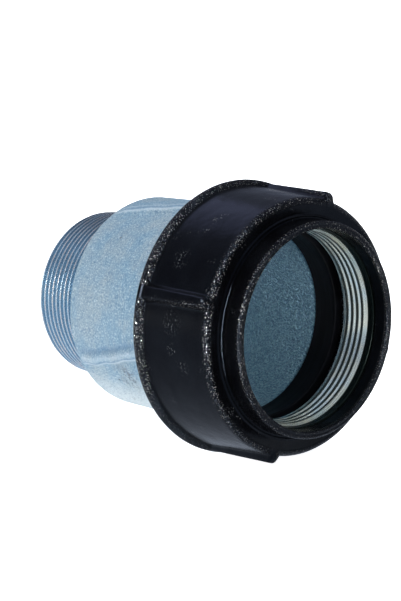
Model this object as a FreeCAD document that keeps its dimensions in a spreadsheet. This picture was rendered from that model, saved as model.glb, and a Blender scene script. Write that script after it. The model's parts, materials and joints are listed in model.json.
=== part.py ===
"""Clamp union for a 60.3 mm steel pipe: a casting with an R 2 taper thread at one end and a screwed socket
at the other, where a union nut drives a split clamp ring, a thrust ring and a rubber seal on to the pipe.

Everything is turned about the X axis. X = 0 is the end face of the taper thread, and +X runs towards the
mouth that the pipe enters. Sizes are in millimetres.
"""
import FreeCAD, Part
import math
import os
import re
import Sketcher

doc = FreeCAD.newDocument("clamp_union")

# ---------------------------------------------------------------------------------------------------------
# Driving dimensions
# ---------------------------------------------------------------------------------------------------------
SIZES = {
    # thread form, shared by the taper thread and the union thread: 11 threads per inch, 55 degree flanks
    "thread_pitch": 2.309,
    "thread_depth": 1.479,
    "flank_angle": 27.5,
    "root_flat": 0.36,
    "thread_reach": 0.2,
    "taper_turn": 135.0,
    "union_turn": 225.0,
    "thread_lead": 2.9,
    # taper thread, R 2
    "taper_end_radius": 29.31,
    "taper_angle": 1.79,
    "taper_length": 22.3,
    "taper_thread_end": 21.2,
    "taper_chamfer": 1.2,
    # casting
    "shoulder_end": 28.5,
    "casting_radius": 36.4,
    "casting_front": 67.2,
    "mouth_face": 83.5,
    "waterway_radius": 25.0,
    "waterway_end": 24.5,
    "socket_radius": 30.6,
    "socket_bottom": 32.0,
    "edge_break": 0.6,
    # four ridges on the casting, each a little askew to the axis
    "ridge_start": 26.4,
    "ridge_rise": 12.0,
    "ridge_toe_drop": 1.4,
    "ridge_middle_lift": 0.9,
    "ridge_end_slope": 1.8,
    "ridge_root_radius": 32.6,
    "ridge_radius": 38.1,
    "ridge_width": 4.6,
    "ridge_angle": 21.5,
    "ridge_middle": 44.0,
    "ridge_skew": 14.0,
    "ridge_round": 0.6,
    # union thread between casting and nut
    "union_radius": 38.6,
    "union_play_radial": 0.2,
    "union_play_axial": 0.15,
    "union_thread_start": 69.2,
    "union_groove_start": 65.5,
    "union_core_radius": 35.6,
    "nut_core_radius": 40.2,
    # seal and its pocket
    "pocket_radius": 34.6,
    "pocket_bottom": 76.5,
    "seal_play": 0.1,
    "seal_inner_radius": 30.45,
    "seal_outer_radius": 34.5,
    "seal_length": 9.3,
    "seal_bevel": 0.8,
    # thrust ring
    "thrust_back": 88.4,
    "thrust_thickness": 1.9,
    "thrust_bevel": 1.0,
    "thrust_inner_radius": 30.9,
    "thrust_outer_radius": 36.7,
    # clamp ring
    "clamp_back": 90.4,
    "clamp_front": 101.8,
    "clamp_tooth_radius": 30.65,
    "clamp_back_outer": 36.65,
    "clamp_back_land": 0.9,
    "clamp_front_outer": 32.6,
    "tooth_pitch": 2.25,
    "tooth_depth": 0.6,
    "tooth_start": 91.4,
    "tooth_ramp": 1.25,
    "tooth_back": 0.1,
    "lead_in_start": 98.2,
    "lead_in_end": 99.9,
    "lead_in_radius": 31.15,
    "clamp_front_radius": 31.2,
    "clamp_gap": 5.0,
    "clamp_gap_angle": 84.0,
    # union nut
    "nut_back": 71.3,
    "nut_front": 101.1,
    "nut_lip": 107.8,
    "rim_radius": 44.9,
    "rim_width": 1.8,
    "panel_start": 74.1,
    "panel_back_radius": 43.0,
    "panel_front_radius": 40.9,
    "nut_round": 2.0,
    "face_dish": 0.9,
    "collar_radius": 34.2,
    "lip_round": 0.9,
    "nut_hole_radius": 31.73,
    "nut_hole_back": 102.5,
    "skirt_radius": 39.2,
    "skirt_depth": 1.6,
    "relief_start": 87.9,
    "relief_end": 90.3,
    "relief_radius": 38.95,
    "cone_play": 0.37,
    # four ribs on the nut
    "rib_width": 4.4,
    "rib_back_radius": 44.6,
    "rib_front_radius": 43.6,
    "rib_front": 100.7,
    "rib_end_slope": 2.0,
    "rib_root_cover": 0.3,
    "rib_round": 0.9,
    "rib_angle": -16.6,
}

sheet = doc.addObject("Spreadsheet::Sheet", "sizes")
for row, (alias, value) in enumerate(SIZES.items(), start=1):
    sheet.set(f"A{row}", alias)
    sheet.set(f"B{row}", str(value))
    sheet.setAlias(f"B{row}", alias)
doc.recompute()


def size(alias):
    """A driving dimension as the sheet holds it."""
    return float(sheet.get(alias))


FLANK_SLOPE = math.tan(math.radians(size("flank_angle")))
TAPER_SLOPE = math.tan(math.radians(size("taper_angle")))
TAPER = "tan(taper_angle * 1deg)"

# ---------------------------------------------------------------------------------------------------------
# Helpers
# ---------------------------------------------------------------------------------------------------------
# An outline is first drawn on a circle, then its sizes pull it into place
DRAFT_CENTRE = 50.0
DRAFT_RADIUS = 40.0
EDGE_TOLERANCE = 0.02
BARS = 4


def new_body(name):
    body = doc.addObject("PartDesign::Body", name)
    body.Label = name
    return body


def origin_feature(body, role):
    return next(part for part in body.Origin.OriginFeatures if part.Role == role)


def bind(text):
    """The expression on the sheet's cells for a size written with plain words and numbers."""
    return re.sub(r"[a-z_]+", lambda word: "sizes." + word[0] if word[0] in SIZES else word[0], text)


def axial_sketch(body, name, turned="0", skewed="0", pivot="0"):
    """A sketch whose x runs along the axis and whose y is the radius. turned is the angle of its plane about
    the axis, from +Z towards -Y. skewed then swings the plane about the radius at pivot along the axis."""
    sketch = body.newObject("Sketcher::SketchObject", name)
    sketch.AttachmentSupport = (origin_feature(body, "XZ_Plane"), [""])
    sketch.MapMode = "FlatFace"
    turn = f"placement(vector(0; 0; 0); rotationx({turned} * 1deg))"
    swing = f"placement(vector({pivot}; 0; 0); rotationy({skewed} * 1deg))"
    back = f"placement(vector(-({pivot}); 0; 0); rotationx(0deg))"
    sketch.setExpression("AttachmentOffset", bind(f"{turn} * {swing} * {back}"))
    return sketch


def draw_outline(sketch, points):
    """A closed outline through points given as pairs of sizes: along the axis, and from the axis."""
    count = len(points)
    turn = 2 * math.pi / count
    start = [
        FreeCAD.Vector(
            DRAFT_CENTRE + DRAFT_RADIUS * math.cos(k * turn),
            DRAFT_CENTRE + DRAFT_RADIUS * math.sin(k * turn),
            0,
        )
        for k in range(count)
    ]
    for k in range(count):
        sketch.addGeometry(Part.LineSegment(start[k], start[(k + 1) % count]), False)
    for k in range(count):
        sketch.addConstraint(Sketcher.Constraint("Coincident", k, 2, (k + 1) % count, 1))
    for k, (along, radius) in enumerate(points):
        for kind, text, value in (
            ("DistanceX", along, start[k].x),
            ("DistanceY", radius, start[k].y),
        ):
            number = sketch.addConstraint(Sketcher.Constraint(kind, -1, 1, k, 1, value))
            sketch.setExpression(f"Constraints[{number}]", bind(text))


def revolve(body, name, points):
    sketch = axial_sketch(body, f"{name}_outline")
    draw_outline(sketch, points)
    turned = body.newObject("PartDesign::Revolution", name)
    turned.Profile = sketch
    turned.ReferenceAxis = (sketch, ["H_Axis"])
    turned.Angle = 360
    doc.recompute()
    return turned


def bars(body, name, points, width, turned, skewed="0", pivot="0"):
    """Four bars round the axis, each a side outline padded to both sides."""
    sketch = axial_sketch(body, f"{name}_outline", turned, skewed, pivot)
    draw_outline(sketch, points)
    pad = body.newObject("PartDesign::Pad", f"{name}_bar")
    pad.Profile = sketch
    pad.SideType = "Symmetric"
    pad.setExpression("Length", f"sizes.{width}")
    doc.recompute()
    pattern = body.newObject("PartDesign::PolarPattern", name)
    pattern.Originals = [pad]
    pattern.Axis = (origin_feature(body, "X_Axis"), [""])
    pattern.Angle = 360
    pattern.Occurrences = BARS
    body.Tip = pattern
    doc.recompute()
    return pattern


def ring_edges(shape, places):
    """The names of the round edges about the axis at each place, an (along, radius) pair in millimetres."""
    names = []
    for number, edge in enumerate(shape.Edges, start=1):
        curve = edge.Curve
        if not isinstance(curve, Part.Circle):
            continue
        for along, radius in places:
            near_along = abs(curve.Center.x - along) < EDGE_TOLERANCE
            if near_along and abs(curve.Radius - radius) < EDGE_TOLERANCE:
                names.append(f"Edge{number}")
    return names


def crest_edges(shape, inner, outer):
    """The names of the straight edges whose ends both stand between two radii from the axis."""
    names = []
    for number, edge in enumerate(shape.Edges, start=1):
        if not isinstance(edge.Curve, Part.Line):
            continue
        if all(inner < math.hypot(end.Y, end.Z) < outer for end in edge.Vertexes):
            names.append(f"Edge{number}")
    return names


def round_edges(body, name, base, names, radius):
    rounded = body.newObject("PartDesign::Fillet", name)
    rounded.Base = (base, names)
    rounded.setExpression("Radius", bind(radius))
    body.Tip = rounded
    doc.recompute()
    return rounded


def thread_groove(start, root, depth, root_width, height, turn, cone=0.0):
    """The solid that a thread's groove takes away, wound about the axis from start along it and turn degrees
    round it. The section is a trapezium: root_width wide at the root radius and wider by its flanks at
    root + depth, where depth is negative for an inside thread."""
    spread = abs(depth) * FLANK_SLOPE
    half = root_width / 2
    corners = [
        FreeCAD.Vector(start - half, 0, -root),
        FreeCAD.Vector(start + half, 0, -root),
        FreeCAD.Vector(start + half + spread, 0, -root - depth),
        FreeCAD.Vector(start - half - spread, 0, -root - depth),
    ]
    helix = Part.makeHelix(size("thread_pitch"), height, root, cone)
    along_x = FreeCAD.Rotation(FreeCAD.Vector(0, 0, 1), FreeCAD.Vector(1, 0, 0))
    helix.Placement = FreeCAD.Placement(FreeCAD.Vector(start, 0, 0), along_x)
    section = Part.makePolygon(corners + corners[:1])
    groove = Part.Wire(helix).makePipeShell([section], True, True)
    groove.rotate(FreeCAD.Vector(), FreeCAD.Vector(1, 0, 0), turn)
    return groove


def threaded_piece(label, blank, threads):
    """The finished piece: a blank joined to its threaded bands, each a band less its groove."""
    shape = blank.Shape
    for band, groove in threads:
        cut = band.Shape.cut(groove)
        removed = band.Shape.Volume - cut.Volume
        if not cut.isValid() or not groove.Volume / 2 < removed < groove.Volume:
            raise RuntimeError(f"the thread of {band.Label} didn't cut")
        joined = shape.fuse(cut)
        overlap = shape.Volume + cut.Volume - joined.Volume
        if not joined.isValid() or abs(overlap) > 1:
            raise RuntimeError(f"{band.Label} didn't join {label}")
        shape = joined
    piece = doc.addObject("Part::Feature", label)
    piece.Label = label
    piece.Shape = shape.removeSplitter().Solids[0]
    piece.Placement = FreeCAD.Placement()
    return piece


# ---------------------------------------------------------------------------------------------------------
# Threaded body: the casting
# ---------------------------------------------------------------------------------------------------------
body = new_body("casting_blank")
# The shoulder swells from the threaded neck to the full barrel along an S curve
NECK_RADIUS = f"(taper_end_radius + taper_length * {TAPER})"
SHOULDER_STEPS = 7
shoulder_outline = []
for step in range(SHOULDER_STEPS + 1):
    share = step / SHOULDER_STEPS
    swell = share * share * (3 - 2 * share)
    shoulder_outline.append(
        (
            f"taper_length + (shoulder_end - taper_length) * {share:.4f}",
            f"{NECK_RADIUS} + (casting_radius - {NECK_RADIUS}) * {swell:.4f}",
        )
    )
casting = revolve(
    body,
    "casting",
    [
        ("taper_thread_end", "waterway_radius"),
        ("taper_thread_end", f"taper_end_radius + taper_thread_end * {TAPER}"),
        *shoulder_outline,
        ("casting_front", "casting_radius"),
        ("casting_front", "union_core_radius"),
        ("mouth_face", "union_core_radius"),
        ("mouth_face", "pocket_radius"),
        ("pocket_bottom", "pocket_radius"),
        ("pocket_bottom", "socket_radius"),
        ("socket_bottom", "socket_radius"),
        ("waterway_end", "waterway_radius"),
    ],
)
casting = bars(
    body,
    "ridges",
    [
        ("ridge_start", "ridge_root_radius"),
        ("ridge_start", "casting_radius - ridge_toe_drop"),
        ("ridge_start + ridge_rise / 2", "casting_radius + ridge_middle_lift"),
        ("ridge_start + ridge_rise", "ridge_radius"),
        ("casting_front - ridge_end_slope", "ridge_radius"),
        ("casting_front", "casting_radius"),
        ("casting_front", "ridge_root_radius"),
    ],
    "ridge_width",
    "ridge_angle",
    "ridge_skew",
    "ridge_middle",
)
flat_top_high = size("ridge_radius") + size("ridge_width") / 2
crests = crest_edges(casting.Shape, size("ridge_radius"), flat_top_high)
round_edges(body, "ridge_rounds", casting, crests, "ridge_round")

taper_band = new_body("taper_band")
revolve(
    taper_band,
    "taper_blank",
    [
        ("0", "waterway_radius"),
        ("0", "taper_end_radius - taper_chamfer"),
        ("taper_chamfer", f"taper_end_radius + taper_chamfer * {TAPER}"),
        ("taper_thread_end", f"taper_end_radius + taper_thread_end * {TAPER}"),
        ("taper_thread_end", "waterway_radius"),
    ],
)
taper_groove = thread_groove(
    start=-size("thread_lead"),
    root=size("taper_end_radius") - size("thread_depth") - size("thread_lead") * TAPER_SLOPE,
    depth=size("thread_depth") + size("thread_reach"),
    root_width=size("root_flat"),
    height=size("taper_thread_end") + 2 * size("thread_lead"),
    turn=size("taper_turn"),
    cone=size("taper_angle"),
)

# The union thread on the mouth is parallel, and its blank is bevelled at both ends
union_band = new_body("union_band")
revolve(
    union_band,
    "union_blank",
    [
        ("casting_front", "union_core_radius"),
        ("casting_front", "casting_radius"),
        ("union_thread_start", "union_radius"),
        ("mouth_face - thread_depth", "union_radius"),
        ("mouth_face", "union_radius - thread_depth"),
        ("mouth_face", "union_core_radius"),
    ],
)
union_groove = thread_groove(
    start=size("union_groove_start"),
    root=size("union_radius") - size("thread_depth"),
    depth=size("thread_depth") + size("thread_reach"),
    root_width=size("root_flat"),
    height=size("mouth_face") - size("union_groove_start") + size("thread_lead"),
    turn=size("union_turn"),
)
threads = [(taper_band, taper_groove), (union_band, union_groove)]
threaded_body = threaded_piece("threaded_body", body, threads)

# ---------------------------------------------------------------------------------------------------------
# Seal ring: rubber, in the pocket of the casting
# ---------------------------------------------------------------------------------------------------------
seal = new_body("seal_ring")
SEAL_BACK = "pocket_bottom + seal_play"
revolve(
    seal,
    "seal",
    [
        (SEAL_BACK, "seal_inner_radius"),
        (SEAL_BACK, "seal_outer_radius"),
        (f"{SEAL_BACK} + seal_length - seal_bevel", "seal_outer_radius"),
        (f"{SEAL_BACK} + seal_length", "seal_outer_radius - seal_bevel"),
        (f"{SEAL_BACK} + seal_length", "seal_inner_radius"),
    ],
)

# ---------------------------------------------------------------------------------------------------------
# Thrust ring: a flat steel ring between the seal and the clamp ring
# ---------------------------------------------------------------------------------------------------------
thrust = new_body("thrust_ring")
revolve(
    thrust,
    "thrust",
    [
        ("thrust_back", "thrust_inner_radius + thrust_bevel"),
        ("thrust_back", "thrust_outer_radius"),
        ("thrust_back + thrust_thickness", "thrust_outer_radius"),
        ("thrust_back + thrust_thickness", "thrust_inner_radius"),
        ("thrust_back + thrust_bevel", "thrust_inner_radius"),
    ],
)

# ---------------------------------------------------------------------------------------------------------
# Clamp ring: split, with a tapered outside, a lead-in for the pipe and teeth that bite it
# ---------------------------------------------------------------------------------------------------------
clamp = new_body("clamp_ring")
TEETH = 3
GAP_MARGIN = 3  # how far the gap's cut reaches past the ring on every side
tooth_outline = []
for tooth in range(TEETH):
    tooth_start = f"tooth_start + {tooth} * tooth_pitch"
    tooth_outline += [
        (tooth_start, "clamp_tooth_radius"),
        (f"{tooth_start} + tooth_ramp", "clamp_tooth_radius + tooth_depth"),
        (f"{tooth_start} + tooth_ramp + tooth_back", "clamp_tooth_radius"),
    ]
ring = revolve(
    clamp,
    "ring",
    [
        ("clamp_back", "clamp_back_outer"),
        ("clamp_back", "clamp_tooth_radius"),
        *tooth_outline,
        ("lead_in_start", "clamp_tooth_radius"),
        ("lead_in_end", "lead_in_radius"),
        ("clamp_front", "clamp_front_radius"),
        ("clamp_front", "clamp_front_outer"),
        ("clamp_back + clamp_back_land", "clamp_back_outer"),
    ],
)
gap_sketch = axial_sketch(clamp, "gap_outline", "clamp_gap_angle")
draw_outline(
    gap_sketch,
    [
        (f"clamp_back - {GAP_MARGIN}", f"clamp_tooth_radius - {GAP_MARGIN}"),
        (f"clamp_front + {GAP_MARGIN}", f"clamp_tooth_radius - {GAP_MARGIN}"),
        (f"clamp_front + {GAP_MARGIN}", f"clamp_back_outer + {GAP_MARGIN}"),
        (f"clamp_back - {GAP_MARGIN}", f"clamp_back_outer + {GAP_MARGIN}"),
    ],
)
gap = clamp.newObject("PartDesign::Pocket", "gap")
gap.Profile = gap_sketch
gap.SideType = "Symmetric"
gap.setExpression("Length", "sizes.clamp_gap")
doc.recompute()
if not gap.Shape.Volume < ring.Shape.Volume - 1:
    raise RuntimeError("the gap cut nothing from the clamp ring")

# ---------------------------------------------------------------------------------------------------------
# Union nut
# ---------------------------------------------------------------------------------------------------------
nut = new_body("nut_blank")
NUT_BORE = "(union_radius - thread_depth + union_play_radial)"
CONE_SLOPE = "((clamp_back_outer - clamp_front_outer) / (clamp_front - clamp_back - clamp_back_land))"
CONE_FOOT = "(clamp_front_outer + cone_play)"
shell = revolve(
    nut,
    "shell",
    [
        ("nut_back", "rim_radius"),
        ("nut_back + rim_width", "rim_radius"),
        ("panel_start", "panel_back_radius"),
        ("nut_front", "panel_front_radius"),
        ("nut_front - face_dish", "collar_radius"),
        ("nut_lip", "collar_radius"),
        ("nut_lip", "nut_hole_radius"),
        ("nut_hole_back", "nut_hole_radius"),
        ("nut_hole_back", f"{CONE_FOOT} - (nut_hole_back - clamp_front) * {CONE_SLOPE}"),
        ("relief_end", f"{CONE_FOOT} + (clamp_front - relief_end) * {CONE_SLOPE}"),
        ("relief_end", "relief_radius"),
        ("relief_start", "relief_radius"),
        ("relief_start", "nut_core_radius"),
        ("nut_back + skirt_depth", "nut_core_radius"),
        ("nut_back + skirt_depth", "skirt_radius"),
        ("nut_back", "skirt_radius"),
    ],
)
corners = [
    (size("nut_front"), size("panel_front_radius"), "nut_front_round", "nut_round"),
    (size("nut_lip"), size("collar_radius"), "nut_lip_round", "lip_round"),
    (size("nut_front") - size("face_dish"), size("collar_radius"), "nut_collar_foot", "lip_round"),
    (size("nut_back"), size("rim_radius"), "nut_rim_round", "edge_break"),
    (size("nut_back"), size("skirt_radius"), "nut_skirt_round", "edge_break"),
]
for along, radius, name, rounding in corners:
    shell = round_edges(nut, name, shell, ring_edges(shell.Shape, [(along, radius)]), rounding)
shell = bars(
    nut,
    "ribs",
    [
        ("nut_back + rim_width / 2", "nut_core_radius + rib_root_cover"),
        ("nut_back + rim_width / 2", "rib_back_radius"),
        ("rib_front - rib_end_slope", "rib_front_radius"),
        ("rib_front", "rib_front_radius - rib_end_slope"),
        ("rib_front - rib_end_slope", "nut_core_radius + rib_root_cover"),
    ],
    "rib_width",
    "rib_angle",
)
crest_low = size("rib_front_radius") - size("rib_end_slope") - EDGE_TOLERANCE
crest_high = (size("rib_back_radius") + size("rim_radius")) / 2
crests = crest_edges(shell.Shape, crest_low, crest_high)
round_edges(nut, "rib_rounds", shell, crests, "rib_round")

nut_band = new_body("nut_band")
revolve(
    nut_band,
    "nut_band_blank",
    [
        ("nut_back + skirt_depth", "nut_core_radius"),
        ("nut_back + skirt_depth", "skirt_radius"),
        (f"nut_back + skirt_depth + skirt_radius - {NUT_BORE}", NUT_BORE),
        ("relief_start", NUT_BORE),
        ("relief_start", "nut_core_radius"),
    ],
)
# The nut's thread meshes with the casting's: its groove starts two and a half turns along, half a pitch off
NUT_THREAD_OFFSET = 2.5
ridge_top = size("thread_pitch") - size("root_flat") - 2 * size("thread_depth") * FLANK_SLOPE
nut_groove = thread_groove(
    start=size("union_groove_start") + NUT_THREAD_OFFSET * size("thread_pitch"),
    root=size("union_radius") + size("union_play_radial"),
    depth=-size("thread_depth") - size("thread_reach"),
    root_width=ridge_top + 2 * size("union_play_axial") - 2 * size("union_play_radial") * FLANK_SLOPE,
    height=size("relief_start") - size("nut_back") + size("thread_pitch"),
    turn=size("union_turn"),
)
union_nut = threaded_piece("union_nut", nut, [(nut_band, nut_groove)])

# ---------------------------------------------------------------------------------------------------------
# Checks and STEP files
# ---------------------------------------------------------------------------------------------------------
doc.recompute()
for obj in doc.Objects:
    if "Invalid" in obj.State or "Error" in obj.State:
        raise RuntimeError(f"{obj.Name} is {obj.State}")
PIECES = (threaded_body, seal, thrust, clamp, union_nut)
for piece in PIECES:
    if piece.Shape.isNull() or not piece.Shape.isValid() or len(piece.Shape.Solids) != 1:
        raise RuntimeError(f"{piece.Label} is not one valid solid")

os.makedirs("parts", exist_ok=True)
for piece in PIECES:
    piece.Shape.exportStep(f"parts/{piece.Label}.step")
    print(f"{piece.Label}: {piece.Shape.Volume:.0f} mm3")
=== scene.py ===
import json
import math

import bpy
import numpy as np
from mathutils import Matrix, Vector, noise

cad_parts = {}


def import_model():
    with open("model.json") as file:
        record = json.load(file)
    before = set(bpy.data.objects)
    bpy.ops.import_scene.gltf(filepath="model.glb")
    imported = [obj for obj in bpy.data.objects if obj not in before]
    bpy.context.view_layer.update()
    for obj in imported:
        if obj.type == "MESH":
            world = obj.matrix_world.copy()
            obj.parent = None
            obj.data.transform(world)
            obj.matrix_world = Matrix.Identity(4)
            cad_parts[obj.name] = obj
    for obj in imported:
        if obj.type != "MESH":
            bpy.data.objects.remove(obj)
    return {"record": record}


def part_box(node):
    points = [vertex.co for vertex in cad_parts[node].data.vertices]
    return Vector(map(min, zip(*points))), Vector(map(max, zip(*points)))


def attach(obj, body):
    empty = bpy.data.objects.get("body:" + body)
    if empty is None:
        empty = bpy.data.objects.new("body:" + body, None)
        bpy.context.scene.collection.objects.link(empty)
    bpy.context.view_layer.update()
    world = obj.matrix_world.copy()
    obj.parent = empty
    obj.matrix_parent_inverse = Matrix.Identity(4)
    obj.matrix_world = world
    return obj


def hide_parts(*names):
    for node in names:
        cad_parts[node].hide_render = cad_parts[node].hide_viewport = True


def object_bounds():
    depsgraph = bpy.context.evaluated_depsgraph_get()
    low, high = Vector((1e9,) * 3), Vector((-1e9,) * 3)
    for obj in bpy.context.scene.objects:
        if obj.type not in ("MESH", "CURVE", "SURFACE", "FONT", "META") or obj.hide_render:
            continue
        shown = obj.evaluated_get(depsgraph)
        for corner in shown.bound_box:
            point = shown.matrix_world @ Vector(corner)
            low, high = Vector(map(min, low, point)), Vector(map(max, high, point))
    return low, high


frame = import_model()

CAD_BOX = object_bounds()
MM = 0.001
PITCH = 25.4 / 11  # 11 threads to the inch
TAU = 2 * math.pi


# ---------------------------------------------------------------- sizes, in millimetres

def span(node):
    """A node's first and last place along the axis, and its largest radius."""
    low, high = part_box(node)
    return low.x / MM, high.x / MM, max(high.y, high.z, -low.y, -low.z) / MM


THREAD_END, MOUTH, UNION_CREST = span("threaded_body")
SEAL_BACK, SEAL_FRONT, SEAL_OUT = span("seal_ring")
THRUST_BACK, THRUST_FRONT, THRUST_OUT = span("thrust_ring")
CLAMP_BACK, CLAMP_FRONT, CLAMP_OUT = span("clamp_ring")
NUT_BACK, LIP, RIM_OUT = span("union_nut")

THREAD_DEPTH = 0.6403 * PITCH  # depth of a 55 degree pipe thread
THREAD_STEP = PITCH / 16  # rows of the mesh along a thread
CREST_FLAT = 0.06  # the share of a thread's wave that its flat crest cuts off

# the casting's taper thread, neck, barrel, union thread and bores; a phase is in degrees
TAPER_CREST, TAPER_SLOPE, TAPER_LENGTH, TAPER_BEVEL = 29.31, 1 / 32, 21.2, 1.2
TAPER_START, TAPER_PHASE = -2.9, 45.0
UNION_START, UNION_PHASE, UNION_BEVEL = 65.5, -45.0, 2.0
NECK_R, NECK_END, SHOULDER_END = 30.0, 22.3, 28.5
BARREL_R, BARREL_END = 36.4, 67.2
POCKET_R, POCKET_BACK = 34.6, 76.5
SOCKET_R, SOCKET_STOP = frame["record"]["mounts"][0]["dims"]["r_mm"], 32.0
WATERWAY_R, WATERWAY_END = 25.0, 24.5

# the casting's four ridges: their angle half way along, and how they turn back in degrees a millimetre
RIDGE_AT, RIDGE_HALF, RIDGE_FOOT = 21.5, 0.5, 3.4
RIDGE_MIDDLE, RIDGE_SKEW = 44.0, 0.38
RIDGE_LINE = ((22.4, 29.0), (26.4, 34.6), (29.4, 36.6), (33.4, 37.6), (38.4, 38.1), (65.4, 38.1),
              (BARREL_END, 36.4))

# the loose rings' holes and bevels
SEAL_HOLE, SEAL_BEVEL = 30.45, 0.8
THRUST_HOLE, THRUST_BEVEL = 30.9, 1.0
TEETH, TOOTH_PITCH, TOOTH_TIP, TOOTH_BOTTOM = 3, 2.25, 30.65, 31.4
TOOTH_RAMP, TOOTH_BACK = 1.25, 0.1
CLAMP_LAND, CLAMP_FRONT_OUT, CLAMP_FRONT_HOLE = 0.9, 32.6, 31.55
LEAD_IN_START, LEAD_IN_END, LEAD_IN_R = 98.2, 99.7, 31.45
BRIGHT_FROM, BRIGHT_TO = 98.7, 99.6  # the bright band in front of the teeth
CLAMP_GAP, CLAMP_GAP_AT = 5.0, 84.0

# the nut's rim, panels, front, collar and lip
RIM_FRONT = 73.1
PANEL_BACK, PANEL_BACK_R = 74.1, 43.0
PANEL_FRONT, PANEL_FRONT_R, PANEL_ROUND = 101.1, 40.9, 2.0
NUT_FACE, FACE_BEAD = 100.25, 0.35
COLLAR_R, COLLAR_ROUND = 34.2, 0.9
LIP_HOLE, LIP_MIDDLE = 31.73, 33.0

# the nut's inside: skirt, thread, relief and the cone that closes the clamp ring
NUT_BORE = UNION_CREST - THREAD_DEPTH + 0.2
SKIRT_R, SKIRT_END, NUT_THREAD_BACK = 39.2, 72.9, 74.78
RELIEF_BACK, RELIEF_FRONT, RELIEF_R = 87.9, 90.3, 38.95
CONE_BACK_R, CONE_FRONT, CONE_FRONT_R = 37.35, 102.5, 32.7

# the nut's four ribs; an end's rows are how far round the corner, and the place along and from the axis
RIB_AT, RIB_HALF, RIB_FOOT, RIB_TAPER = -16.6, 1.3, 1.9, 0.5
RIB_LINE = ((72.2, 44.6), (99.2, 43.5))
RIB_END = ((0.0, 99.2, 43.5), (0.25, 100.0, 43.1), (0.5, 100.6, 42.2), (0.75, 100.9, 41.0),
           (1.0, 101.0, 39.2))

# dusty patches on the paint: a place and how far the dust spreads
DUST_A = ((83.0, -35.3, 23.3), 4.5)
DUST_B = ((86.0, -41.9, 4.3), 5.0)
DUST_C = ((90.0, -40.8, -8.8), 3.5)
# the cracked patch on the casting's zinc
SCAR = ((52.0, -30.8, -19.5), 9.0)


# ---------------------------------------------------------------- outlines and turned meshes

def smooth(t):
    """0 below 0, 1 above 1, and a soft S between."""
    t = np.clip(t, 0.0, 1.0)
    return t * t * (3 - 2 * t)


# how outlines are cut into rows: turns and arc steps in radians, rows in millimetres
STRAIGHT, ARC_STEP = 0.02, 0.3
HOLD, CLOSEST = 0.25, 0.04


def outline(corners):
    """A closed outline as rows (x, r, zone). A corner is (x, r, round, zone, step): its round is a radius,
    and its zone and the longest step between rows belong to the line that leaves it."""
    rows = []
    count = len(corners)
    ends = []
    for i, (x, r, radius, zone, step) in enumerate(corners):
        here = np.array((x, r), float)
        before = np.array(corners[i - 1][:2], float)
        after = np.array(corners[(i + 1) % count][:2], float)
        inward = (here - before) / np.linalg.norm(here - before)
        outward = (after - here) / np.linalg.norm(after - here)
        turn = math.atan2(inward[0] * outward[1] - inward[1] * outward[0], float(inward @ outward))
        if radius <= 0 or abs(turn) < STRAIGHT:
            ends.append(([here], here, here))
            continue
        cut = radius * math.tan(abs(turn) / 2)
        first = here - inward * cut
        side = np.array((-inward[1], inward[0])) * math.copysign(1, turn)
        centre = first + side * radius
        pieces = max(3, math.ceil(abs(turn) / ARC_STEP))
        arc = []
        for k in range(pieces + 1):
            a = turn * k / pieces
            spoke = first - centre
            arc.append(centre + np.array((spoke[0] * math.cos(a) - spoke[1] * math.sin(a),
                                          spoke[0] * math.sin(a) + spoke[1] * math.cos(a))))
        ends.append((arc, first, arc[-1]))
    for i, (x, r, radius, zone, step) in enumerate(corners):
        arc, _, leave = ends[i]
        meet = ends[(i + 1) % count][1]
        rows += [(p[0], p[1], zone) for p in arc]
        run = float(np.linalg.norm(meet - leave))
        hold = min(HOLD, run / 4)
        stops = [hold, run - hold] if radius > 0 or corners[(i + 1) % count][2] > 0 else []
        pieces = max(1, math.ceil(run / step))
        stops = sorted(set(stops) | {run * k / pieces for k in range(1, pieces)})
        last = 0.0
        for s in stops:
            if s - last > CLOSEST and run - s > CLOSEST:
                p = leave + (meet - leave) * s / run
                rows.append((p[0], p[1], zone))
                last = s
    return rows


RING_TURNS = 256  # how many pieces the plain rings have all the way round


def even_angles(count):
    return np.linspace(0.0, 360.0, count, endpoint=False)


def angles_with_bars(at, half_span, fine, coarse):
    """Angles all the way round, closer together near the four bars."""
    quarter = np.concatenate((np.arange(-half_span, half_span, fine),
                              np.arange(half_span, 90 - half_span, coarse)))
    return np.concatenate([at + quarter + 90 * k for k in range(4)])


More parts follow.
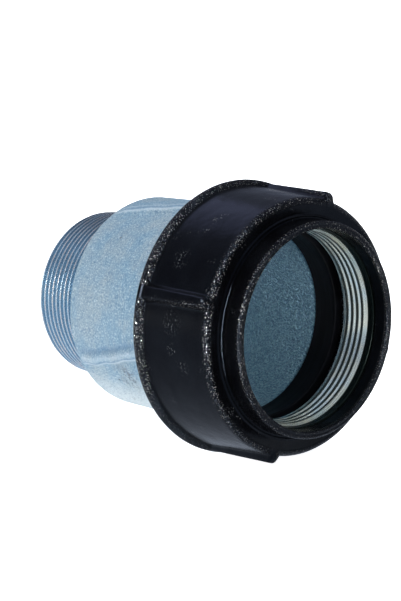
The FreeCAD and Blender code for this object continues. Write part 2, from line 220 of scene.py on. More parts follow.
def turned(name, rows, angles, shape=None, open_ends=False):
    """A closed mesh turned about the axis from an outline. shape(x, r, zone, angle) gives each place its
    x and radius and two masks for its material, from 0 to 1, which the mesh keeps as edge and deep."""
    x = np.array([p[0] for p in rows])[:, None]
    r = np.array([p[1] for p in rows])[:, None]
    zone = np.array([p[2] for p in rows])[:, None]
    a = angles[None, :]
    x, r, a = x + 0 * a, r + 0 * a, a + 0 * x
    edge = deep = 0 * x
    if shape is not None:
        x, r, edge, deep = shape(x, r, zone + 0 * a, a)
    rad = np.radians(a)
    points = np.stack((x, -r * np.sin(rad), r * np.cos(rad)), axis=-1) * MM
    n, m = x.shape
    index = np.arange(n * m).reshape(n, m)
    down = np.roll(index, -1, axis=0)
    if open_ends:
        a0, a1, b0, b1 = index[:, :-1], index[:, 1:], down[:, :-1], down[:, 1:]
    else:
        a0, a1, b0, b1 = index, np.roll(index, -1, axis=1), down, np.roll(down, -1, axis=1)
    quads = np.stack((a0, a1, b1, b0), axis=-1).reshape(-1, 4).tolist()
    if open_ends:
        quads.append(index[:, 0].tolist())
        quads.append(index[::-1, -1].tolist())
    mesh = bpy.data.meshes.new(name)
    mesh.from_pydata(points.reshape(-1, 3).tolist(), [], quads)
    mesh.validate()
    obj = bpy.data.objects.new(name, mesh)
    bpy.context.scene.collection.objects.link(obj)
    mesh.polygons.foreach_set("use_smooth", [True] * len(mesh.polygons))
    for label, values in (("edge", edge), ("deep", deep)):
        mesh.attributes.new(label, "FLOAT", "POINT").data.foreach_set("value", values.ravel())
    if open_ends:
        sharp_ends(mesh, n, m)
    return obj


def sharp_ends(mesh, n, m):
    """The two flat end faces of a split ring keep their sharp edge."""
    for polygon in list(mesh.polygons)[-2:]:
        polygon.use_smooth = False
    ends = {i * m for i in range(n)} | {i * m + m - 1 for i in range(n)}
    flags = [e.vertices[0] in ends and e.vertices[1] in ends for e in mesh.edges]
    mesh.attributes.new("sharp_edge", "BOOLEAN", "EDGE").data.foreach_set("value", flags)


def grain(x, angle, radius, size, seed):
    """Even noise from about -1 to 1 over a turned surface, with grains of this size in millimetres."""
    rad = np.radians(angle)
    y, z = -radius * np.sin(rad) / size, radius * np.cos(rad) / size
    flat = np.stack((x / size + seed, y, z), axis=-1).reshape(-1, 3)
    return np.array([noise.noise(Vector(p)) for p in flat]).reshape(x.shape)


def groove(x, angle, start, phase):
    """How deep in a right-hand thread's groove each place is: 1 in its middle and 0 on the crest."""
    turn = (x - start) / PITCH - (angle + phase) / 360
    wave = 0.5 + 0.5 * np.cos(TAU * turn)
    return np.clip((wave - CREST_FLAT) / (1 - CREST_FLAT), 0, 1)


def across_bar(angle, at, radius):
    """Millimetres round the surface from the middle of the nearest of four bars."""
    return np.radians((angle - at + 45) % 90 - 45) * radius


def bar(across, half, foot):
    """The cross-section of a cast bar: 1 on its top, 0 beside it, with a soft foot."""
    return smooth((half + foot - np.abs(across)) / foot)


def bump_at(value, middle, width):
    """1 at the middle and falling away over this width to both sides."""
    return np.exp(-((value - middle) / width) ** 2)


def along(line, x):
    return np.interp(x, [p[0] for p in line], [p[1] for p in line])


# ---------------------------------------------------------------- the five pieces

PLAIN, CAST, TAPER, UNION, BORE, RIBBED, SHOULDER = range(7)


def threaded_body():
    curve = [(x, NECK_R + (BARREL_R - NECK_R) * smooth((x - NECK_END) / (SHOULDER_END - NECK_END)))
             for x in np.linspace(NECK_END, SHOULDER_END, 13)]
    bore_step = 0.7
    taper_end_r = TAPER_CREST + TAPER_LENGTH * TAPER_SLOPE
    mouth_r = UNION_CREST - THREAD_DEPTH
    corners = [
        (THREAD_END, TAPER_CREST - TAPER_BEVEL, 0.15, TAPER, THREAD_STEP),
        (THREAD_END + TAPER_BEVEL, TAPER_CREST + 0.04, 0.0, TAPER, THREAD_STEP),
        (TAPER_LENGTH, taper_end_r, 0.0, TAPER, THREAD_STEP),
    ]
    corners += [(x, r, 0.0, CAST, 0.6) for x, r in curve]
    corners += [
        (BARREL_END, BARREL_R, 0.0, UNION, THREAD_STEP),
        (BARREL_END + UNION_BEVEL, UNION_CREST, 0.0, UNION, THREAD_STEP),
        (MOUTH - THREAD_DEPTH, UNION_CREST, 0.0, UNION, THREAD_STEP),
        (MOUTH, mouth_r, 0.15, PLAIN, 1.0),
        (MOUTH, POCKET_R, 0.3, PLAIN, 2.0),
        (POCKET_BACK, POCKET_R, 0.3, PLAIN, 2.0),
        (POCKET_BACK, SOCKET_R, 0.4, BORE, bore_step),
        (SOCKET_STOP, SOCKET_R, 0.6, BORE, bore_step),
        (WATERWAY_END, WATERWAY_R, 0.8, BORE, bore_step),
        (THREAD_END, WATERWAY_R, 0.5, PLAIN, 1.0),
    ]

    def shape(x, r, zone, angle):
        cast, taper, union, bore = zone == CAST, zone == TAPER, zone == UNION, zone == BORE
        # the two threads
        crest = TAPER_CREST + x * TAPER_SLOPE
        run_out = smooth((TAPER_LENGTH + 0.9 - x) / PITCH)
        taper_turn = groove(x, angle, TAPER_START, TAPER_PHASE) * run_out
        r = np.where(taper, np.minimum(r, crest - THREAD_DEPTH * taper_turn), r)
        union_turn = groove(x, angle, UNION_START, UNION_PHASE)
        r = np.where(union, np.minimum(r, UNION_CREST - THREAD_DEPTH * union_turn), r)
        # the ridges, a little wavy, and the rough skin
        wander = 4.0 * grain(x, 0 * angle, 0 * r, 9.0, 3.0)
        top = along(RIDGE_LINE, x)
        middle = RIDGE_AT - RIDGE_SKEW * (x - RIDGE_MIDDLE) + wander
        across = across_bar(angle, middle, r)
        rise = np.maximum(top - r, 0)
        share = bar(across, RIDGE_HALF, RIDGE_FOOT) ** 1.5
        r = np.where(cast, r + rise * share, r)
        fade = smooth((x - NECK_END) / 3)
        r = r + np.where(cast, 0.07 * fade * grain(x, angle, r, 7.0, 0.0), 0)
        r = r + np.where(bore, -0.08 * np.abs(grain(x, angle, r, 2.0, 9.0)), 0)
        # painted light: a painted highlight along a ridge's crest, painted shade in a thread's groove and
        # beside the crest
        on_ridge = np.where(cast, smooth(rise / 0.8), 0)
        edge = on_ridge * np.maximum(0.5 * bump_at(across, -0.5, 1.1), bump_at(across, 1.5, 0.35))
        deep = np.where(taper, taper_turn, 0) + np.where(union, union_turn, 0)
        deep = deep + on_ridge * (0.8 * bump_at(across, -3.0, 1.0) + bump_at(across, 0.9, 0.3))
        return x, r, edge, np.clip(deep, 0, 1)

    return turned("threaded_body_casting", outline(corners),
                  angles_with_bars(RIDGE_AT, 16.0, 0.4, 0.9), shape)


def seal_ring():
    corners = [
        (SEAL_BACK, SEAL_OUT, 0.5, PLAIN, 1.0),
        (SEAL_FRONT - SEAL_BEVEL, SEAL_OUT, 0.3, PLAIN, 1.0),
        (SEAL_FRONT, SEAL_OUT - SEAL_BEVEL, 0.3, PLAIN, 1.0),
        (SEAL_FRONT, SEAL_HOLE, 0.6, BORE, 0.6),
        (SEAL_BACK, SEAL_HOLE, 0.5, PLAIN, 1.0),
    ]
    return turned("rubber_seal", outline(corners), even_angles(RING_TURNS))


def thrust_ring():
    corners = [
        (THRUST_BACK, THRUST_OUT, 0.25, PLAIN, 1.0),
        (THRUST_FRONT, THRUST_OUT, 0.25, PLAIN, 1.0),
        (THRUST_FRONT, THRUST_HOLE, 0.2, PLAIN, 1.0),
        (THRUST_BACK + THRUST_BEVEL, THRUST_HOLE, 0.2, PLAIN, 1.0),
        (THRUST_BACK, THRUST_HOLE + THRUST_BEVEL, 0.2, PLAIN, 1.0),
    ]
    return turned("steel_thrust_ring", outline(corners), even_angles(RING_TURNS))


def clamp_ring():
    tip, first_tooth = TOOTH_TIP, CLAMP_BACK + 1.0
    corners = [
        (CLAMP_BACK, CLAMP_OUT, 0.3, PLAIN, 1.0),
        (CLAMP_BACK + CLAMP_LAND, CLAMP_OUT, 0.3, PLAIN, 1.0),
        (CLAMP_FRONT, CLAMP_FRONT_OUT, 0.3, PLAIN, 1.0),
        (CLAMP_FRONT, CLAMP_FRONT_HOLE, 0.15, PLAIN, 1.0),
        (LEAD_IN_END, LEAD_IN_R, 0.2, PLAIN, 1.0),
        (LEAD_IN_START, tip, 0.15, BORE, 1.0),
    ]
    for k in reversed(range(TEETH)):
        at = first_tooth + k * TOOTH_PITCH
        corners += [
            (at + TOOTH_RAMP + TOOTH_BACK, tip, 0.04, PLAIN, 1.0),
            (at + TOOTH_RAMP, TOOTH_BOTTOM, 0.04, PLAIN, 1.0),
            (at + 0.3 * TOOTH_RAMP, tip + 0.1, 0.1, PLAIN, 1.0),
            (at, tip, 0.06, BORE, 1.0),
        ]
    corners.append((CLAMP_BACK, tip, 0.2, PLAIN, 1.0))
    gap = math.degrees(CLAMP_GAP / tip)
    angles = CLAMP_GAP_AT + gap / 2 + np.linspace(0.0, 360.0 - gap, 321)

    def shape(x, r, zone, angle):
        # painted dark: dark reflections painted on the teeth's lands, and darker in front of the bright
        # band
        land = np.where(r < tip + 0.03, 0.88, 0.0)
        front = np.where(x > BRIGHT_TO, 1.0, 0.1)
        return x, r, 0 * r, np.where(x > BRIGHT_FROM, front, land)

    return turned("split_clamp_ring", outline(corners), angles, shape, open_ends=True)


def union_nut():
    cast_step = 0.9
    corners = [
        (NUT_BACK, SKIRT_R, 0.5, CAST, cast_step),
        (NUT_BACK, RIM_OUT, 0.7, CAST, cast_step),
        (RIM_FRONT, RIM_OUT, 0.7, RIBBED, 0.6),
        (PANEL_BACK, PANEL_BACK_R, 0.6, RIBBED, cast_step),
        (PANEL_FRONT, PANEL_FRONT_R, PANEL_ROUND, SHOULDER, cast_step),
        (NUT_FACE - 0.05, COLLAR_R + 1.6, 0.15, CAST, 0.5),
        (NUT_FACE + FACE_BEAD, COLLAR_R + 1.25, 0.15, CAST, 0.5),
        (NUT_FACE + FACE_BEAD, COLLAR_R + 0.95, 0.15, CAST, 0.5),
        (NUT_FACE, COLLAR_R + 0.7, 0.1, CAST, 0.5),
        (NUT_FACE, COLLAR_R, 0.45, CAST, cast_step),
        (LIP, COLLAR_R, COLLAR_ROUND, CAST, 0.6),
        (LIP, LIP_HOLE, 0.5, PLAIN, 1.0),
        (CONE_FRONT, LIP_HOLE, 0.3, PLAIN, 1.0),
        (CONE_FRONT, CONE_FRONT_R, 0.2, PLAIN, 1.0),
        (RELIEF_FRONT, CONE_BACK_R, 0.2, PLAIN, 1.0),
        (RELIEF_FRONT, RELIEF_R, 0.3, PLAIN, 1.0),
        (RELIEF_BACK, RELIEF_R, 0.3, PLAIN, 1.0),
        (RELIEF_BACK, NUT_BORE, 0.0, UNION, THREAD_STEP),
        (NUT_THREAD_BACK, NUT_BORE, 0.0, UNION, THREAD_STEP),
        (SKIRT_END, SKIRT_R, 0.2, PLAIN, 1.0),
    ]

    rows = outline(corners)
    shoulder_start_r = next(row[1] for row in rows if row[2] == SHOULDER)
    shoulder_end_r = PANEL_FRONT_R - PANEL_ROUND

    def shape(x, r, zone, angle):
        cast, union = zone == CAST, zone == UNION
        # the thread, in step with the casting's and half a turn off it, so that crest meets groove
        start = UNION_START + 2.5 * PITCH
        ends = smooth((x - NUT_THREAD_BACK + 0.38) / 0.8) * smooth((RELIEF_BACK + 0.4 - x) / 0.8)
        cut = NUT_BORE + THREAD_DEPTH * groove(x, angle, start, UNION_PHASE) * ends
        r = np.where(union, np.maximum(r, cut), r)
        # the ribs, which turn down over the shoulder, and the cast skin
        flat_x, flat_r = x, r
        wander = 0.25 * grain(x, 0 * angle, 0 * r, 6.0, 5.0)
        half = RIB_HALF - RIB_TAPER * np.clip((x - PANEL_BACK) / (PANEL_FRONT - PANEL_BACK), 0, 1)
        across = across_bar(angle, RIB_AT + wander, r)
        share = bar(across, half, RIB_FOOT)
        lift = np.maximum(along(RIB_LINE, x) - r, 0) * share
        r = np.where(zone == RIBBED, r + lift, r)
        turning = (zone == SHOULDER) & (r > shoulder_end_r)
        t = np.clip((shoulder_start_r - r) / (shoulder_start_r - shoulder_end_r), 0, 1)
        end_x = np.interp(t, [p[0] for p in RIB_END], [p[1] for p in RIB_END])
        end_r = np.interp(t, [p[0] for p in RIB_END], [p[2] for p in RIB_END])
        x = np.where(turning, x + (end_x - x) * share, x)
        r = np.where(turning, r + (end_r - r) * share, r)
        cast = cast | (zone == RIBBED) | (zone == SHOULDER)
        r = r + np.where(cast, 0.04 * grain(x, angle, r, 5.0, 1.0), 0)
        # where the paint is worn, which also places the painted glints: the rim, shoulder, ribs' crests and
        # knees, and the lip's edges
        outside = cast & (flat_r > LIP_MIDDLE)
        rim = smooth((PANEL_BACK + 0.3 - flat_x) / 0.7) * np.where(flat_r > 42.0, 1.0, 0.0)
        shoulder = np.hypot(flat_x - PANEL_FRONT + 0.6, flat_r - PANEL_FRONT_R + 0.6)
        shoulder = smooth((1.6 - shoulder) / 1.2)
        clear = 1 - smooth(share * 1.6)
        crest = np.where(zone == RIBBED, bump_at(across, half + 0.5, 0.5), 0)
        crest = crest * smooth((flat_x - 80.0) / 16.0) * np.where(flat_r < 43.4, 1.0, 0.0)
        knee = np.where(turning, share * bump_at(across, half, 0.8), 0)
        foot = smooth((2.3 - np.hypot(flat_x - NUT_FACE - 0.05, flat_r - COLLAR_R)) / 0.6)
        foot = np.where(cast, foot, 0)  # the collar's foot, where the paint is glossier
        lip = smooth((1.1 - np.hypot(flat_x - LIP, flat_r - LIP_HOLE)) / 0.5)
        lip = np.maximum(lip, 0.7 * smooth((1.3 - np.hypot(flat_x - LIP, flat_r - COLLAR_R)) / 0.6))
        edge = np.maximum(rim, shoulder) * clear
        edge = np.maximum(np.maximum(edge, 0.8 * crest), knee)
        edge = np.maximum(np.where(outside, edge, 0) * (1 - foot), 0.8 * lip)
        return x, r, np.clip(edge, 0, 1), foot

    return turned("union_nut_casting", rows,
                  angles_with_bars(RIB_AT, 6.0, 0.35, 0.9), shape)


# ---------------------------------------------------------------- materials

class Nodes:
    """A short way to write a material's nodes."""

    def __init__(self, name):
        self.material = bpy.data.materials.new(name)
        self.material.use_nodes = True
        self.tree = self.material.node_tree
        self.tree.nodes.clear()
        self.out = self.tree.nodes.new("ShaderNodeOutputMaterial")
        self.shader = self.tree.nodes.new("ShaderNodeBsdfPrincipled")
        self.tree.links.new(self.shader.outputs[0], self.out.inputs["Surface"])
        coordinates = self.tree.nodes.new("ShaderNodeTexCoord")
        self.place = coordinates.outputs["Object"]

    def put(self, socket, value):
        """Links a socket, or sets a constant on it."""
        if isinstance(value, bpy.types.NodeSocket):
            self.tree.links.new(value, socket)
        else:
            socket.default_value = value

    def set(self, **values):
        """Puts values on the shader's sockets, which are named with _ for a space."""
        for name, value in values.items():
            self.put(self.shader.inputs[name.replace("_", " ")], value)

    def math(self, operation, a, b=0.0):
        n = self.tree.nodes.new("ShaderNodeMath")
        n.operation = operation
        self.put(n.inputs[0], a)
        self.put(n.inputs[1], b)
        return n.outputs[0]

    def times(self, a, b):
        return self.math("MULTIPLY", a, b)

    def stretch(self, scale):
        """The place with its three coordinates scaled, so that noise comes out as streaks."""
        n = self.tree.nodes.new("ShaderNodeVectorMath")
        n.operation = "MULTIPLY"
        self.put(n.inputs[0], self.place)
        n.inputs[1].default_value = scale
        return n.outputs[0]

    def noise(self, size, detail=2.0, rough=0.5, place=None):
        """Noise from 0 to 1 with grains of about this size in millimetres."""
        n = self.tree.nodes.new("ShaderNodeTexNoise")
        self.put(n.inputs["Vector"], place or self.place)
        n.inputs["Scale"].default_value = 1 / (size * MM)
        n.inputs["Detail"].default_value = detail
        n.inputs["Roughness"].default_value = rough
        return n.outputs[0]

    def cells(self, size):
        """How far each place is from the nearest of points about this many millimetres apart."""
        n = self.tree.nodes.new("ShaderNodeTexVoronoi")
        self.put(n.inputs["Vector"], self.place)
        n.inputs["Scale"].default_value = 1 / (size * MM)
        return n.outputs["Distance"]

    def band(self, value, low, high, to_low=0.0, to_high=1.0):
        """A soft step from to_low, where the value is low or less, to to_high."""
        n = self.tree.nodes.new("ShaderNodeMapRange")
        n.interpolation_type = "SMOOTHSTEP"
        for name, v in (("Value", value), ("From Min", low), ("From Max", high),
                        ("To Min", to_low), ("To Max", to_high)):
            self.put(n.inputs[name], v)
        return n.outputs[0]

    def mix(self, factor, a, b):
        """Colour a where the factor is 0, and b where it is 1."""
        n = self.tree.nodes.new("ShaderNodeMix")
        n.data_type = "RGBA"
        self.put(n.inputs[0], factor)
        self.put(n.inputs[6], a)
        self.put(n.inputs[7], b)
        return n.outputs[2]

    def xyz(self):
        """The place on the piece, in millimetres."""
        n = self.tree.nodes.new("ShaderNodeSeparateXYZ")
        self.put(n.inputs[0], self.stretch((1 / MM, 1 / MM, 1 / MM)))
        return n.outputs[0], n.outputs[1], n.outputs[2]

    def axis(self):
        """Millimetres along the axis, and out from it."""
        x, y, z = self.xyz()
        square = self.math("ADD", self.times(y, y), self.times(z, z))
        return x, self.math("SQRT", square)

    def painted(self, label):
        """A mask that the mesh keeps at its points."""
        n = self.tree.nodes.new("ShaderNodeAttribute")
        n.attribute_name = label
        return n.outputs["Fac"]

    def near(self, place, reach):
        """1 at a place given in millimetres, falling to 0 at this reach."""
        n = self.tree.nodes.new("ShaderNodeVectorMath")
        n.operation = "DISTANCE"
        self.put(n.inputs[0], self.place)
        n.inputs[1].default_value = [v * MM for v in place]
        return self.band(n.outputs["Value"], 0.0, reach * MM, 1.0, 0.0)

    def bump(self, height, distance, under=None):
        """Relief of this depth in millimetres, over another relief."""
        n = self.tree.nodes.new("ShaderNodeBump")
        n.inputs["Distance"].default_value = distance * MM
        self.put(n.inputs["Height"], height)
        if under is not None:
            self.put(n.inputs["Normal"], under)
        return n.outputs[0]


def colour(r, g, b):
    """A linear colour from one written in the usual 0 to 255."""
    return tuple((v / 255 / 12.92) if v < 11 else ((v / 255 + 0.055) / 1.055) ** 2.4
                 for v in (r, g, b)) + (1.0,)


def galvanised():
    """Zinc over cast iron: rough and cloudy outside, machined threads, and pebbled teal bores."""
    n = Nodes("galvanised_casting")
    x, out = n.axis()
    z = n.xyz()[2]
    edge, deep = n.painted("edge"), n.painted("deep")

    # where the bores, the threads and the cast skin are
    bore_limit = n.band(x, 22.0, 33.0, WATERWAY_R + 1.4, SOCKET_R + 1.4)
    inside = n.band(n.math("SUBTRACT", out, bore_limit), -0.3, 0.3, 1.0, 0.0)
    taper = n.times(n.band(x, 21.6, 23.0, 1.0, 0.0), n.band(out, 26.6, 27.4))
    union = n.times(n.band(x, BARREL_END, BARREL_END + 1.0), n.band(out, 36.0, 36.6))
    machined = n.math("MAXIMUM", taper, union)
    cast = n.math("SUBTRACT", 1.0, machined)

    # the cast skin: clouds, streaks, a painted paler underside standing in for light from the floor, and
    # fine grain
    fine = n.noise(0.55, 3.0, 0.7)
    streaks = n.noise(2.2, 3.0, 0.6, n.stretch((1.6, 0.5, 0.5)))
    base = n.mix(n.band(n.noise(16.0, 3.0, 0.55), 0.36, 0.66), colour(116, 148, 166), colour(138, 156, 164))
    base = n.mix(n.band(streaks, 0.45, 0.75, 0.0, 0.4), base, colour(160, 170, 170))
    # painted light: paler towards the bottom, as if lit from the floor below
    base = n.mix(n.band(z, -32.0, -17.0, 0.9, 0.0), base, colour(204, 212, 210))
    base = n.mix(n.band(fine, 0.52, 0.64, 0.0, 0.8), base, colour(76, 112, 138))
    base = n.mix(n.band(fine, 0.36, 0.46, 0.75, 0.0), base, colour(184, 200, 206))

    # the threads: painted highlights on the crests, painted shade on the flanks, blue grooves, and painted
    # dark reflections on top
    crest = n.mix(n.band(streaks, 0.4, 0.6), colour(182, 202, 214), colour(206, 206, 206))
    root = n.mix(n.band(deep, 0.25, 0.6), colour(112, 146, 170), colour(142, 180, 202))
    thread = n.mix(n.band(deep, 0.05, 0.22), crest, root)
    # painted reflection: the threads turn nearly black towards the top
    thread = n.mix(n.band(z, 17.0, 30.0, 0.0, 0.6), thread, colour(20, 28, 40))
    base = n.mix(machined, base, thread)

    # the bores: pebbles, stronger towards the mouth, with painted shade in their hollows and painted
    # highlights on their tops
    pebbles = n.noise(0.75, 2.0, 0.6)
    pebbled = n.band(x, 36.0, 64.0, 0.35, 1.0)
    hollow_shade = n.times(n.band(pebbles, 0.42, 0.50, 1.0, 0.0), pebbled)
    top = n.times(n.band(pebbles, 0.52, 0.60, 0.0, 0.3), pebbled)
    bore = n.mix(n.band(fine, 0.35, 0.65), colour(120, 158, 176), colour(88, 126, 148))
    bore = n.mix(top, bore, colour(150, 190, 208))
    bore = n.mix(n.times(hollow_shade, 0.55), bore, colour(54, 86, 110))
    base = n.mix(inside, base, bore)

    # the ridges' painted highlights on their crests and painted shade in their valleys, and the pits and
    # cracks
    base = n.mix(n.times(n.times(edge, cast), 0.7), base, colour(190, 204, 210))
    base = n.mix(n.times(n.times(deep, cast), 0.6), base, colour(84, 118, 146))
    crack = n.math("ABSOLUTE", n.math("SUBTRACT", n.noise(5.0, 3.0, 0.6), 0.5))
    scar = n.times(n.band(crack, 0.0, 0.03, 1.0, 0.0), n.near(*SCAR))
    pits = n.math("MAXIMUM", n.band(n.cells(6.5), 0.04, 0.09, 1.0, 0.0), scar)
    pits = n.times(pits, n.times(cast, n.math("SUBTRACT", 1.0, inside)))
    base = n.mix(n.times(pits, 0.8), base, colour(60, 68, 76))

    relief = n.bump(n.times(n.noise(0.6, 3.0, 0.65), n.math("ADD", cast, 0.15)), 0.26)
    relief = n.bump(n.times(n.noise(2.2, 2.0, 0.55), cast), 0.35, under=relief)
    relief = n.bump(n.times(n.times(pebbles, inside), pebbled), 5.0, under=relief)
    relief = n.bump(n.times(pits, -1.0), 0.15, under=relief)
    metal = n.math("ADD", 0.25, n.times(machined, 0.5))
    metal = n.math("ADD", metal, n.times(inside, 0.3))
    rough = n.band(fine, 0.2, 0.8, 0.42, 0.56)
    rough = n.math("SUBTRACT", rough, n.times(machined, 0.22))
    rough = n.math("SUBTRACT", rough, n.times(inside, 0.14))
    n.set(Base_Color=base, Metallic=metal, Roughness=rough, Normal=relief)
    return n.material


def black_paint():
    """Glossy black paint with patches of dust, and pale flecks on the worn edges: partly bare iron, partly
    painted glints.
    """
    n = Nodes("black_casting")
    edge, foot = n.painted("edge"), n.painted("deep")
    grit = n.noise(0.5, 2.0, 0.75)
    dust = n.band(n.noise(7.0, 2.0, 0.5), 0.62, 0.72)
    for place, reach in (DUST_A, DUST_B, DUST_C):
        dust = n.math("MAXIMUM", dust, n.near(place, reach))
    dust = n.times(dust, n.band(n.noise(0.7, 2.0, 0.7), 0.56, 0.70))
    base = n.mix(n.band(n.noise(9.0), 0.35, 0.65), colour(4, 4, 5), colour(7, 8, 10))
    base = n.mix(n.times(dust, 0.3), base, colour(130, 132, 132))

    # fewer flecks towards the top and the bottom: the painted glints are kept where the light glints off
    # the edges
    z = n.xyz()[2]
    glint_reach = n.times(n.band(z, -30.0, -6.0, 0.15, 1.0), n.band(z, 12.0, 32.0, 1.0, 0.35))
    flecks = n.band(n.noise(0.42, 2.0, 0.6), 0.615, 0.66)
    worn_and_glint = n.times(n.times(edge, glint_reach), flecks)
    base = n.mix(worn_and_glint, base, colour(214, 210, 202))

    relief = n.bump(n.noise(3.4, 2.0, 0.5), 0.13)
    relief = n.bump(n.times(grit, n.math("ADD", 0.03, edge)), 0.7, under=relief)
    gloss = n.math("MAXIMUM", n.times(edge, 0.06), n.times(foot, 0.16))
    n.set(Base_Color=base, Normal=relief, Metallic=n.times(worn_and_glint, 0.9),
          Roughness=n.math("SUBTRACT", n.band(grit, 0.2, 0.8, 0.20, 0.25), gloss),
          Specular_IOR_Level=0.11, Specular_Tint=(0.62, 0.76, 1.0, 1.0))
    return n.material


def plated():
    """Zinc plating with fine turning lines, painted dark on the teeth's lands and in front of the bright
    band.
    """
    n = Nodes("plated_steel")
    painted_dark = n.painted("deep")
    turning = n.noise(0.4, 3.0, 0.6, n.stretch((1.0, 0.03, 0.03)))
    base = n.mix(n.band(n.noise(7.0), 0.35, 0.65), colour(214, 230, 228), colour(232, 236, 220))
    # painted dark on the lands and in front of the bright band
    base = n.mix(painted_dark, base, colour(26, 34, 32))
    n.set(Base_Color=base, Metallic=0.85, Roughness=n.band(turning, 0.25, 0.75, 0.18, 0.36),
          Normal=n.bump(turning, 0.03))
    return n.material


def rubber():
    """Matt black rubber with faint rings from its mould, the lighter rings painted as a sheen."""
    n = Nodes("rubber_seal")
    rings = n.noise(1.2, 3.0, 0.6, n.stretch((1.0, 0.05, 0.05)))
    # the lighter rings are a painted sheen over the mould rings
    base = n.mix(n.band(rings, 0.35, 0.7), colour(6, 6, 8), colour(20, 22, 26))
    n.set(Base_Color=base, Roughness=n.band(rings, 0.2, 0.8, 0.45, 0.65), Normal=n.bump(rings, 0.08),
          Specular_IOR_Level=0.15)
    return n.material


# ---------------------------------------------------------------- put together

ZINC, BLACK, PLATED, RUBBER = galvanised(), black_paint(), plated(), rubber()

for build, node, body, slot, material in (
    (threaded_body, "threaded_body", "body", "galvanised_casting", ZINC),
    (seal_ring, "seal_ring", "body", "rubber_seal", RUBBER),
    (thrust_ring, "thrust_ring", "rings", "plated_steel", PLATED),
    (clamp_ring, "clamp_ring", "rings", "plated_steel", PLATED),
    (union_nut, "union_nut", "nut", "black_casting", BLACK),
):
    piece = build()
    piece.data.materials.append(material)
    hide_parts(node)
    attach(piece, body)


# ---------------------------------------------------------------- floor, light and camera

FLOOR_HALF, FLOOR_GAP = 60.0, 0.0003  # in metres: the floor runs on past the horizon
WHITE, DIM = (1.05, 1.05, 1.05, 1), (0.20, 0.23, 0.32, 1)
# the studio's shades by height, from straight down at 0 through the horizon at 0.5 to straight up at 1
STUDIO = ((0.46, (0.58, 0.66, 0.80, 1)), (0.485, WHITE), (0.525, WHITE), (0.56, DIM), (0.80, DIM),
          (0.94, (0.44, 0.49, 0.64, 1)))


def floor():
    """A plain pale floor that is white in the picture."""
    n = Nodes("pale_floor")
    speck = n.noise(60.0, 2.0, 0.5)
    n.set(Base_Color=n.mix(speck, (0.92, 0.92, 0.92, 1), (0.95, 0.95, 0.95, 1)), Roughness=0.9,
          Specular_IOR_Level=0.1, Emission_Color=(1.0, 1.0, 1.0, 1.0), Emission_Strength=1.0)
    level = CAD_BOX[0].z - FLOOR_GAP
    corners = [(x * FLOOR_HALF, y * FLOOR_HALF, level) for x, y in ((-1, -1), (1, -1), (1, 1), (-1, 1))]
    mesh = bpy.data.meshes.new("floor")
    mesh.from_pydata(corners, [], [(0, 1, 2, 3)])
    mesh.materials.append(n.material)
    obj = bpy.data.objects.new("floor", mesh)
    bpy.context.scene.collection.objects.link(obj)
    obj.visible_glossy = False  # the glossy pieces reflect the even lower half of the studio instead


def world():
    """An even studio that gets lighter towards its top, with a white horizon."""
    sky = bpy.data.worlds.new("studio")
    bpy.context.scene.world = sky
    sky.use_nodes = True
    tree = sky.node_tree
    tree.nodes.clear()
    out = tree.nodes.new("ShaderNodeOutputWorld")
    background = tree.nodes.new("ShaderNodeBackground")
    coordinates = tree.nodes.new("ShaderNodeTexCoord")
    split = tree.nodes.new("ShaderNodeSeparateXYZ")
    height = tree.nodes.new("ShaderNodeMath")
    height.operation = "MULTIPLY_ADD"
    height.inputs[1].default_value = height.inputs[2].default_value = 0.5
    ramp = tree.nodes.new("ShaderNodeValToRGB")
    links = tree.links
    links.new(coordinates.outputs["Generated"], split.inputs[0])
    links.new(split.outputs["Z"], height.inputs[0])
    links.new(height.outputs[0], ramp.inputs[0])
    links.new(ramp.outputs[0], background.inputs["Color"])
    links.new(background.outputs[0], out.inputs["Surface"])
    stops = ramp.color_ramp.elements
    stops[0].position, stops[0].color = STUDIO[0]
    stops[1].position, stops[1].color = STUDIO[1]
    for position, shade in STUDIO[2:]:
        stops.new(position).color = shade


def area(name, aim, way, width, height, power, tint=(1, 1, 1)):
    """A soft light of this width and height, aimed at a place from this way off it, in metres."""
    data = bpy.data.lights.new(name, "AREA")
    data.shape, data.size, data.size_y = "RECTANGLE", width, height
    data.energy, data.color = power, tint
    obj = bpy.data.objects.new(name, data)
    obj.location = aim + Vector(way)
    obj.rotation_euler = (aim - obj.location).to_track_quat("-Z", "Y").to_euler()
    bpy.context.scene.collection.objects.link(obj)
    return obj


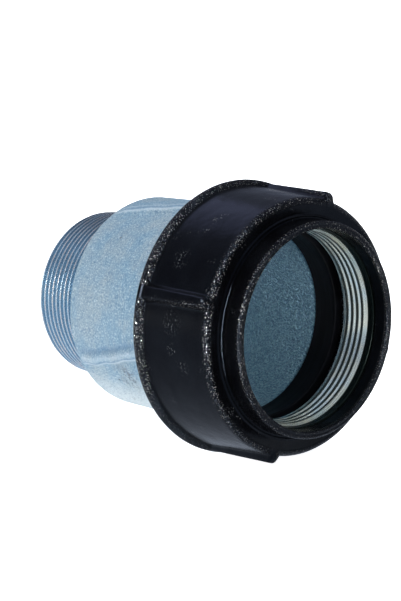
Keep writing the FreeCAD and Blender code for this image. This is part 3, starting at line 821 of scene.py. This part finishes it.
def light_only(light, *names):
    """The light reaches only these pieces."""
    lit = bpy.data.collections.new(light.name + "_reaches")
    for name in names:
        lit.objects.link(bpy.data.objects[name])
    light.light_linking.receiver_collection = lit


def top_light(name, strength, spread):
    """An even soft light from straight above, as a large ceiling panel gives."""
    data = bpy.data.lights.new(name, "SUN")
    data.energy, data.angle = strength, math.radians(spread)
    obj = bpy.data.objects.new(name, data)
    obj.visible_glossy = False
    bpy.context.scene.collection.objects.link(obj)


def lights():
    middle = (CAD_BOX[0] + CAD_BOX[1]) / 2
    mouth = Vector((MOUTH * MM, 0, 0))
    top_panel = mouth + Vector((-0.03, -0.02, 0.035))
    area("key_softbox", middle, (0.0, -0.873, 0.216), 0.12, 0.22, 2.0)
    glint = area("glint_strip", mouth, (0.09, -0.33, 0.01), 0.02, 0.50, 10.0)
    glow = area("top_glow", top_panel, (-0.74, 0.19, 0.65), 0.5, 0.5, 0.8, (0.45, 0.50, 0.85))
    for light in (glint, glow):
        light.visible_diffuse = False  # these two only show in the paint's gloss
        light_only(light, "union_nut_casting")
    softbox = area("mouth_softbox", mouth, (0.9, -0.17, 0.13), 0.08, 0.08, 9.0)
    light_only(softbox, "threaded_body_casting", "split_clamp_ring", "steel_thrust_ring")
    top_light("even_top", 2.9, 80.0)


def camera():
    """The camera looks from this angle round and above, all in metres and degrees."""
    azimuth, elevation, distance = math.radians(48.4), math.radians(8.84), 0.4833
    aim = Vector((0.0684, -0.0142, 0.0064))
    data = bpy.data.cameras.new("camera")
    data.lens, data.sensor_width, data.clip_end = 89.85, 36.0, 500
    obj = bpy.data.objects.new("camera", data)
    back = Vector((math.sin(azimuth) * math.cos(elevation),
                   -math.cos(azimuth) * math.cos(elevation), math.sin(elevation)))
    obj.location = aim + back * distance
    obj.rotation_euler = back.to_track_quat("Z", "Y").to_euler()
    bpy.context.scene.collection.objects.link(obj)
    bpy.context.scene.camera = obj


floor()
world()
lights()
camera()
bpy.context.scene.view_settings.view_transform = "Standard"
